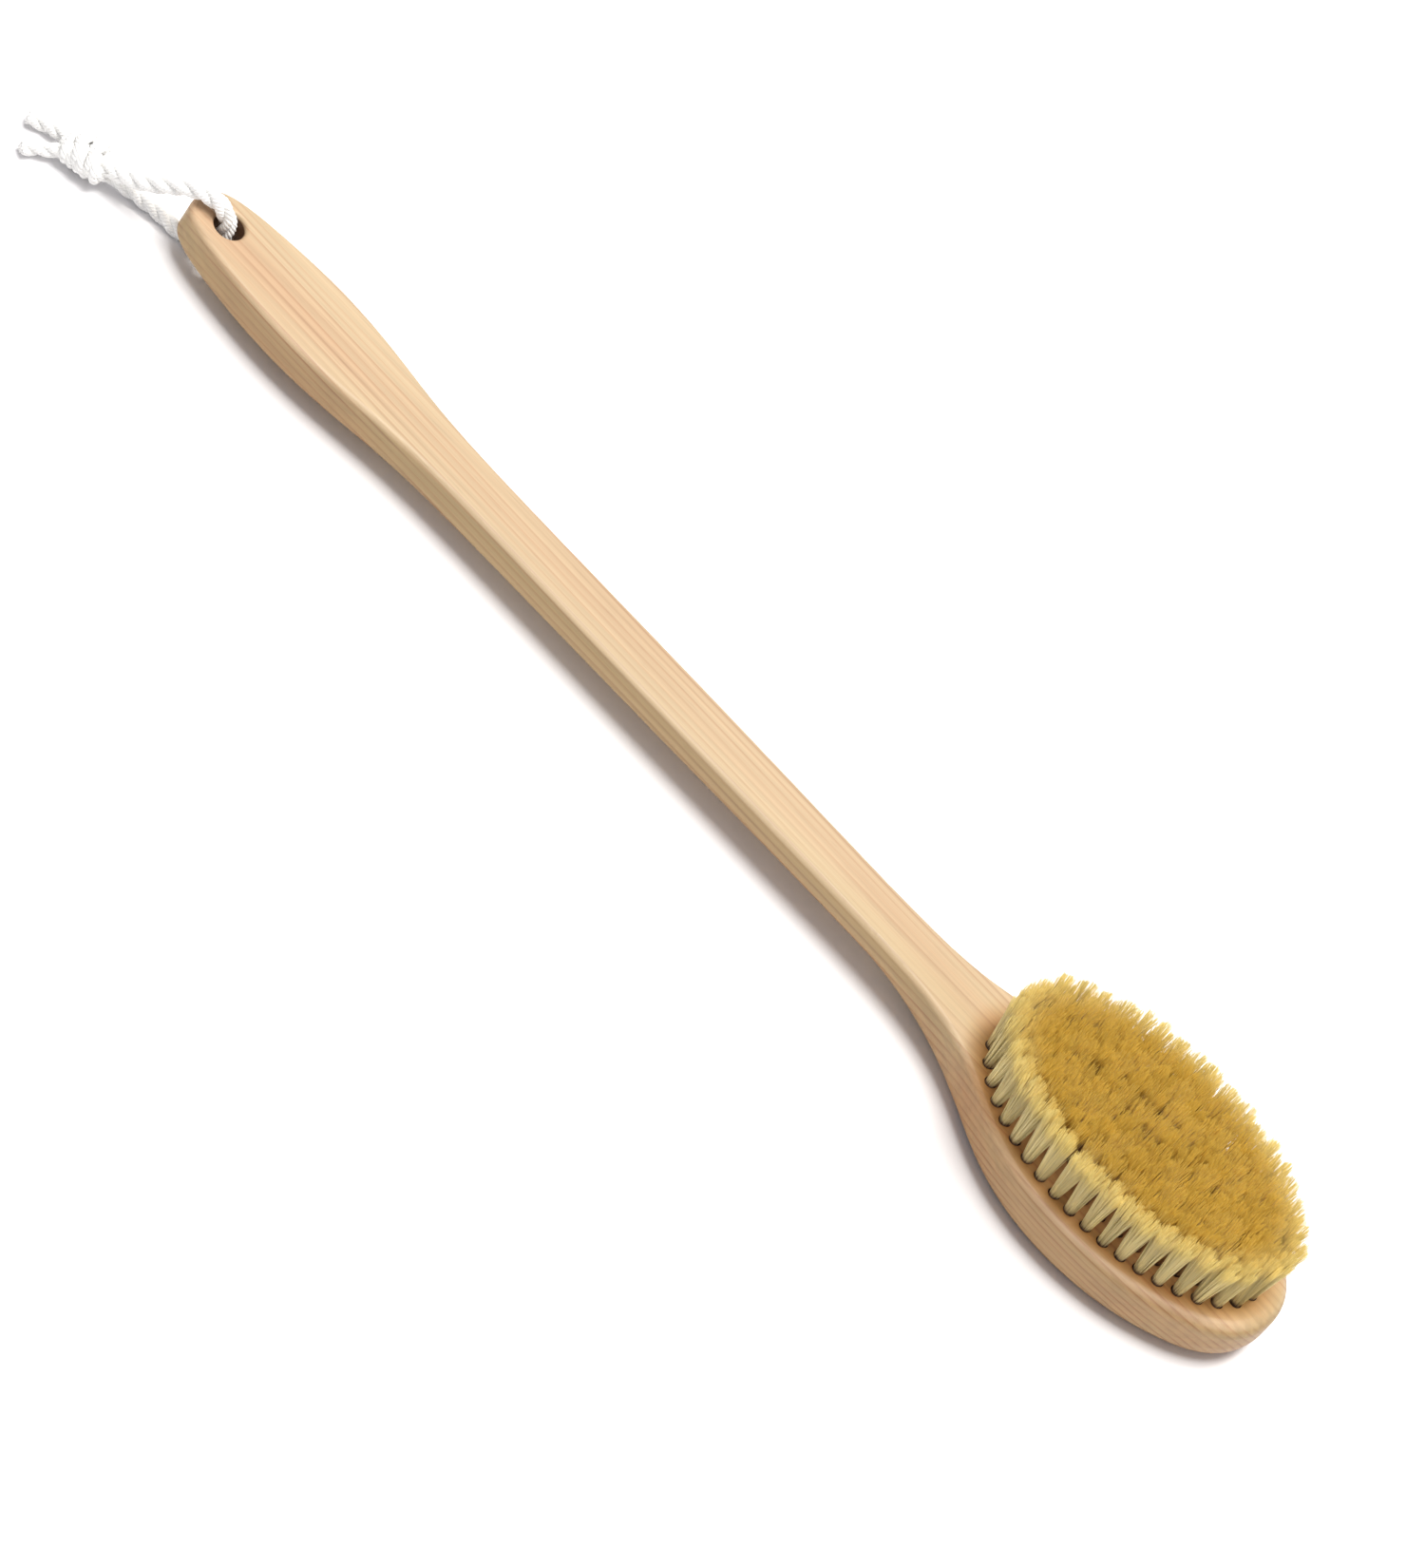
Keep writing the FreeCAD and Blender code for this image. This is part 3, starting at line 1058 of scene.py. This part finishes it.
@dataclass
class HangingRope:
    """The loop of rope through the tip, its knot and its two tails."""

    hole: Vector
    swing: float = math.radians(193.0)
    rope: TwistedRope = field(default_factory=TwistedRope)
    draw: random.Random = field(default_factory=lambda: random.Random(17))
    # Routes in mm: reach from the hole's axis, sideways, height.
    upper: tuple[tuple[float, float, float], ...] = (
        (0.0, 0.0, 10.6), (0.2, -0.2, 15.6), (3.1, -0.4, 19.1), (8.4, -0.4, 20.4),
        (14.6, 0.1, 18.4), (20.2, 0.8, 13.8), (26.2, 1.2, 9.6), (33.4, 1.0, 7.2))
    lower: tuple[tuple[float, float, float], ...] = (
        (0.0, 0.0, 10.6), (0.3, 0.0, 5.6), (3.4, 0.0, 2.35), (10.6, -0.5, 2.35),
        (18.0, -1.8, 2.35), (25.6, -1.8, 2.5), (33.2, -0.6, 3.8))
    through_one: tuple[tuple[float, float, float], ...] = (
        (29.6, 1.1, 8.4), (34.4, 1.3, 6.8), (39.0, 1.8, 5.9), (45.0, 2.4, 4.6), (49.2, 4.4, 3.2),
        (53.0, 6.8, 2.5), (55.6, 9.6, 2.5))
    through_two: tuple[tuple[float, float, float], ...] = (
        (29.4, -1.2, 3.1), (34.6, -1.3, 4.2), (40.0, -1.7, 5.0), (46.0, -2.0, 4.6),
        (50.6, -2.6, 3.2), (55.4, -2.2, 2.5), (59.6, -0.8, 2.5))
    knot_reach: float = 41.0
    knot_height: float = 5.4
    # The two wraps of the knot, in mm and in turns.
    wrap_apart: float = 2.1
    wrap_run: float = 5.6
    wrap_slant: float = 1.6
    wrap_half_wide: float = 4.7
    wrap_half_high: float = 3.1
    wrap_start: float = -0.2
    wrap_turns: float = 1.35
    wrap_steps: int = 90
    # How far a wrap's ends are drawn in, and how quickly it swells from them.
    tucked: float = 0.35
    loosening: float = 6.0
    # How much thicker or thinner than usual the soft rope lies.
    upper_swell: float = 1.12
    lower_swell: float = 1.0
    knot_swell: float = 0.96
    # The loose fibres, in mm but for where they start, a share of the rope's half width.
    fuzz_per_mm: int = 9
    fuzz_foot: float = 0.86
    fuzz_along: tuple[float, float] = (-1.6, 1.6)
    fuzz_out: tuple[float, float] = (0.25, 0.75)
    fuzz_bow: tuple[float, float] = (0.0, 0.25)
    fuzz_wide: tuple[float, float] = (0.07 * MM, 0.03 * MM)
    floor_gap: float = 0.1 * MM

    def build(self, finish: CottonFinish) -> None:
        """Args:
            finish: The rope's finish.
        """
        material = finish.build()
        upper = self.route_line("upper route", self.upper)
        lower = self.route_line("lower route", self.lower)
        legs = []
        for name, line, swell in (("upper", upper, self.upper_swell),
                                  ("lower", lower, self.lower_swell)):
            mesh = self.rope.lay_up(f"rope leg {name}", [line], swell)
            legs.append(add_object(f"rope_leg_{name}", mesh))
        lines = self.knot_lines()
        mesh = self.rope.lay_up("rope knot", lines, self.knot_swell)
        knot = add_object("rope_knot_and_tails", mesh)
        fuzz = add_object("rope_fuzz", self.fuzz([upper, lower] + lines))
        for piece in (*legs, knot, fuzz):
            piece.data.materials.append(material)
        settle(legs[0], Body.ROPE, Slot.ROPE, ("rope_upper_leg",))
        settle(legs[1], Body.ROPE, Slot.ROPE, ("rope_lower_leg",))
        settle(knot, Body.ROPE, Slot.ROPE, ("rope_knot", "rope_tail_one", "rope_tail_two"))
        settle(fuzz, Body.ROPE, Slot.ROPE)
        for leg, line in zip(legs, (upper, lower)):
            tuple(line.points[0])
            line.length
            [tuple(point) for point in line.points]

    def placed(self, reach: float, aside: float, height: float) -> Vector:
        """A point of the rope's own frame, in the row frame."""
        turn = Matrix.Rotation(self.swing, 4, "Z")
        return Vector((self.hole.x, self.hole.y, 0)) + turn @ (Vector((reach, aside, height)) * MM)

    def route_line(self, name: str, route: tuple[tuple[float, float, float], ...]) -> Line:
        """Draw the smooth line that a route's points control.

        Args:
            name: A name for the curve while it is read.
            route: The route's points.

        Returns:
            The line.
        """
        curve = bpy.data.curves.new(name, "CURVE")
        curve.dimensions = "3D"
        spline = curve.splines.new("NURBS")
        spline.points.add(len(route) - 1)
        for point, place in zip(spline.points, route):
            point.co = (*self.placed(*place), 1.0)
        spline.order_u = 3
        spline.use_endpoint_u = True
        spline.resolution_u = 16
        holder = bpy.data.objects.new(name, curve)
        mesh = bpy.data.meshes.new_from_object(holder)
        points = [vert.co.copy() for vert in mesh.vertices]
        bpy.data.objects.remove(holder)
        bpy.data.curves.remove(curve)
        bpy.data.meshes.remove(mesh)
        return Line(points, self.rope.step)

    def knot_lines(self) -> list[Line]:
        """Draw the rope inside and beyond the knot: both legs run through it and wrap it.

        Returns:
            The two lines through the knot, then the two wraps.
        """
        lines = [self.route_line("through one", self.through_one),
                 self.route_line("through two", self.through_two)]
        for shift in (-self.wrap_apart, self.wrap_apart):
            points = []
            for number in range(self.wrap_steps + 1):
                part = number / self.wrap_steps
                angle = 2 * math.pi * (self.wrap_start + self.wrap_turns * part)
                ends = min(1.0, self.loosening * part, self.loosening * (1 - part))
                swell = self.tucked + (1 - self.tucked) * math.sin(0.5 * math.pi * ends)
                reach = (self.knot_reach + shift + self.wrap_run * (part - 0.5)
                         + self.wrap_slant * math.sin(angle))
                aside = self.wrap_half_wide * swell * math.cos(angle)
                height = self.knot_height + self.wrap_half_high * swell * math.sin(angle)
                points.append(self.placed(reach, aside, height))
            lines.append(Line(points, self.rope.step))
        return lines

    def fuzz(self, lines: list[Line]) -> bpy.types.Mesh:
        """Make the fine loose fibres that stand out from the rope all along it.

        Args:
            lines: The rope's centre lines, the tails' among them.

        Returns:
            The fibres as one mesh.
        """
        stock = FibreStock(1)
        bm = stock.start()
        half = 0.5 * self.rope.wide
        for line in lines:
            for _ in range(int(line.length / MM * self.fuzz_per_mm)):
                number = self.draw.randrange(1, len(line.points) - 1)
                side, up = line.frames[number]
                ahead = (line.points[number + 1] - line.points[number]).normalized()
                angle = self.draw.uniform(0, 2 * math.pi)
                out = side * math.cos(angle) + up * math.sin(angle)
                foot = line.points[number] + out * (self.fuzz_foot * half)
                tip = foot + ahead * self.draw.uniform(*self.fuzz_along) * MM
                tip += out * self.draw.uniform(*self.fuzz_out) * MM
                foot.z, tip.z = max(foot.z, self.floor_gap), max(tip.z, self.floor_gap)
                bow = out * self.draw.uniform(*self.fuzz_bow) * MM
                stock.lay(bm, (foot, tip), bow, self.fuzz_wide, own=0.5)
        return mesh_from(bm, "rope fuzz")


# ---------------------------------------------------------------- CAD pieces kept


@dataclass
class WoodenBody:
    """The wooden body, kept as the CAD made it and given its grain."""

    node: str = "wooden_body"

    def dress(self, finish: WoodFinish, hole: Oval, tufts: Oval, face_height: float) -> None:
        """Put the wood finish on the body.

        Args:
            finish: The wood's finish.
            hole: The rope hole's outline.
            tufts: The tuft field's outline.
            face_height: Height of the top face.
        """
        redress(self.node, finish.build(hole, tufts, face_height))


@dataclass
class Anchors:
    """The wire anchors in the bottoms of the tuft holes, kept as the CAD made them."""

    node: str = "wire_anchors_{}_ring"

    def dress(self, finish: WireFinish) -> None:
        """Put the wire finish on every ring of anchors.

        Args:
            finish: The wire's finish.
        """
        material = finish.build()
        for name in RING_NAMES:
            redress(self.node.format(name), material)


# ---------------------------------------------------------------- studio


@dataclass(frozen=True)
class Lamp:
    """A far, soft lamp: its strength, how wide it looks, where it shines from and its tint."""

    name: str
    strength: float
    width: float
    source: tuple[float, float, float]
    tint: tuple[float, float, float]

    def hang(self) -> None:
        """Put the lamp into the scene."""
        light = bpy.data.lights.new(self.name, "SUN")
        light.energy, light.angle, light.color = self.strength, self.width, self.tint
        lamp = bpy.data.objects.new(self.name, light)
        lamp.matrix_world = Vector(self.source).to_track_quat("Z", "Y").to_matrix().to_4x4()
        bpy.context.scene.collection.objects.link(lamp)


@dataclass
class Studio:
    """The floor, the lights and the camera."""

    azimuth: float = math.radians(11.47)
    elevation: float = math.radians(46.41)
    roll: float = math.radians(38.01)
    distance: float = 2.1963
    lens: float = 196.4
    sensor: float = 36.0
    far: float = 20.0
    floor_half: float = 6.0
    aim: Vector = field(default_factory=lambda: Vector((-0.0011, 0.0, 0.006)))
    slide: tuple[float, float] = (0.00124, -0.01016)
    lamps: tuple[Lamp, ...] = (
        Lamp("overhead_softbox", 2.9, math.radians(32.0), (0.05, 0.07, 1.0), (1.0, 0.985, 0.955)),
        Lamp("back_lamp", 0.95, math.radians(14.0), (0.08, 0.40, 1.0), (1.0, 0.965, 0.910)))
    sky: float = 0.44
    sky_colour: tuple[float, float, float, float] = (0.97, 0.97, 1.0, 1.0)

    def build(self) -> None:
        """Build the whole studio, camera first."""
        self.add_camera()
        self.add_floor()
        self.add_lights()

    def add_camera(self) -> None:
        """The camera: a long lens, above and beside the brush, rolled so that it lies slanting."""
        level = math.cos(self.elevation)
        back = Vector((math.sin(self.azimuth) * level, -math.cos(self.azimuth) * level,
                       math.sin(self.elevation)))
        camera = bpy.data.objects.new("camera", bpy.data.cameras.new("camera"))
        camera.data.lens = self.lens
        camera.data.sensor_width = self.sensor
        camera.data.shift_x, camera.data.shift_y = self.slide
        camera.data.clip_end = self.far
        look = (-back).to_track_quat("-Z", "Y").to_matrix().to_4x4()
        camera.matrix_world = (Matrix.Translation(self.aim + back * self.distance) @ look
                               @ Matrix.Rotation(self.roll, 4, "Z"))
        bpy.context.scene.collection.objects.link(camera)
        bpy.context.scene.camera = camera

    def add_floor(self) -> None:
        """A plain floor at the height that the brush lies on."""
        bm = bmesh.new()
        bmesh.ops.create_grid(bm, x_segments=1, y_segments=1, size=self.floor_half)
        floor = add_object("floor", mesh_from(bm, "floor", smooth=False))
        floor.data.materials.append(FloorFinish().build())

    def add_lights(self) -> None:
        """The lamps and an even pale sky."""
        for lamp in self.lamps:
            lamp.hang()
        world = bpy.data.worlds.new("sky")
        world.use_nodes = True
        background = world.node_tree.nodes["Background"]
        background.inputs["Color"].default_value = self.sky_colour
        background.inputs["Strength"].default_value = self.sky
        bpy.context.scene.world = world
        bpy.context.scene.view_settings.view_transform = "Standard"


# ---------------------------------------------------------------- the whole


@dataclass
class Brush:
    """The whole brush, built around what the frame says of its parts."""

    cad_tip_half: float = 2.55 * MM
    hole_half: float = 4.55 * MM
    tuft_margin: float = 2.4 * MM

    def build(self) -> None:
        """Build the rope and the bristles, and dress the pieces that the CAD made."""
        pivot = frame["record"]["behaviour"]["joints"][0]["pos_m"]
        tip = Vector((pivot[0], pivot[1], 0))
        HangingRope(tip).build(CottonFinish())
        face_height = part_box("wooden_body")[1][2]
        outermost = self.outermost_tufts()
        BristleField(outermost, face_height).build(BristleFinish())
        hole = Oval(tip, self.hole_half, self.hole_half)
        WoodenBody().dress(WoodFinish(), hole, outermost.inset(-self.tuft_margin), face_height)
        Anchors().dress(WireFinish())

    def outermost_tufts(self) -> Oval:
        """Find the oval that the outermost tufts stand on.

        Returns:
            The oval, worked out from the box round the CAD's tufts.
        """
        low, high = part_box("bristle_tufts_outer_ring")
        centre = Vector(((low[0] + high[0]) / 2, (low[1] + high[1]) / 2, 0))
        return Oval(centre, (high[0] - low[0]) / 2 - self.cad_tip_half,
                    (high[1] - low[1]) / 2 - self.cad_tip_half)


def main() -> None:
    """Build the studio and every piece, and report each one."""
    logging.basicConfig(level=logging.INFO, format="%(name)s: %(message)s")
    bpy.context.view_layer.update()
    Studio().build()
    Brush().build()


if __name__ == "__main__":
    main()
